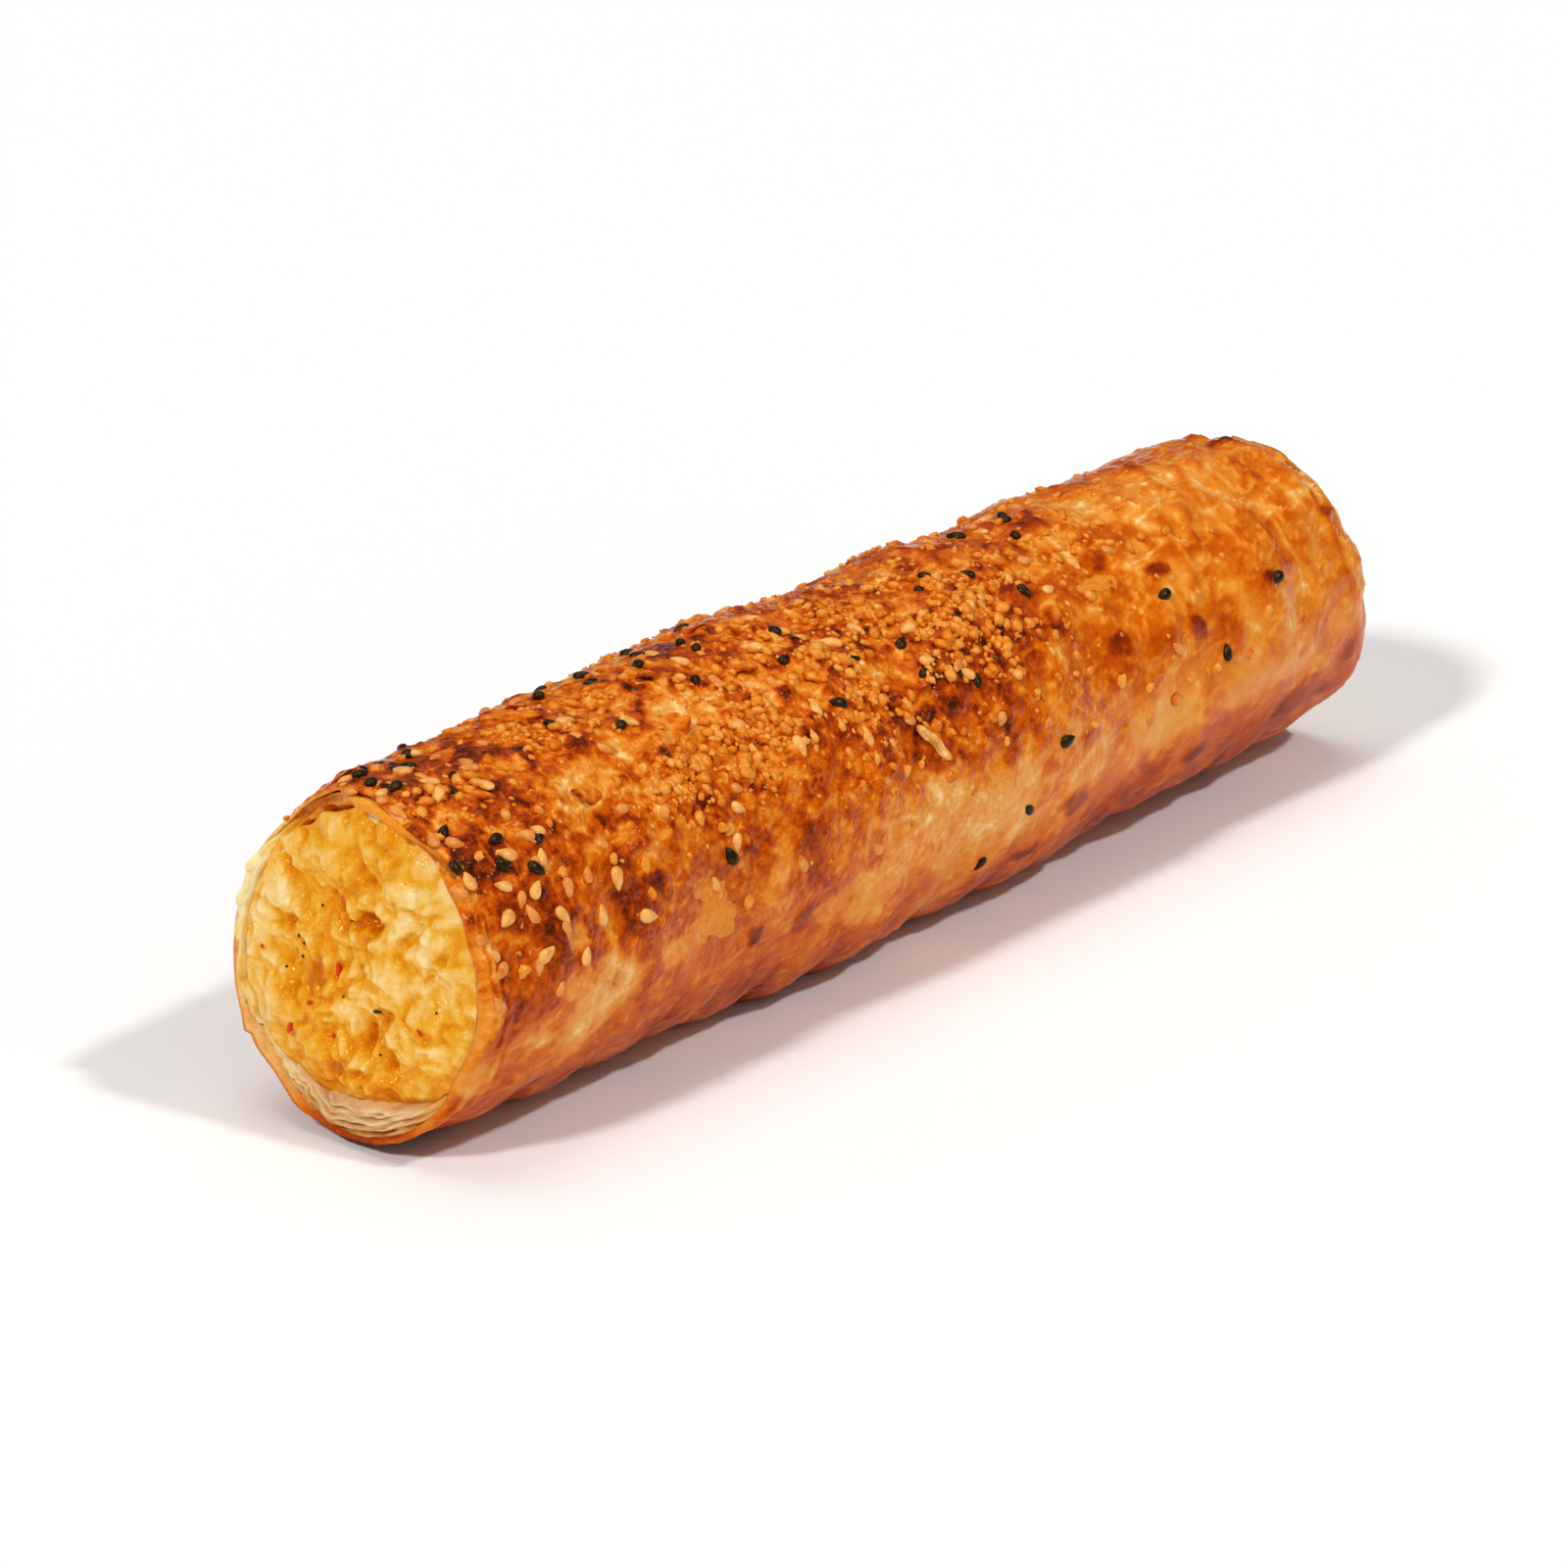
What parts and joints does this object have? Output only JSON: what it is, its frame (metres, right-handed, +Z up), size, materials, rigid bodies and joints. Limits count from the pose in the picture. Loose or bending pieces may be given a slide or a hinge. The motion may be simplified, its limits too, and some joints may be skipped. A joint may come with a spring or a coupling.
{
  "type": "potato borek",
  "caption": "Baked roll of thin layered pastry round a mashed potato filling, strewn with sesame and black cumin seeds, cut open at both ends.",
  "frame": {"origin": "on the flattened underside, below the middle of the roll's length and width", "axes": "+Z up, +X along the roll from the cut end that the picture shows to the far end, +Y to the roll's far side"},
  "size_m": [0.2124, 0.0522, 0.051],
  "materials": {
    "crust": "oily semi-gloss, baked golden brown with darker crags",
    "potato": "moist mashed potato, soft gloss",
    "black_seed": "matt black",
    "sesame": "toasted, soft gloss",
    "chilli": "moist red flakes",
    "herb": "dark flecks"
  },
  "bodies": {
    "root": {"pastry": "crust", "potato_filling": "potato"}
  },
  "joints": []
}
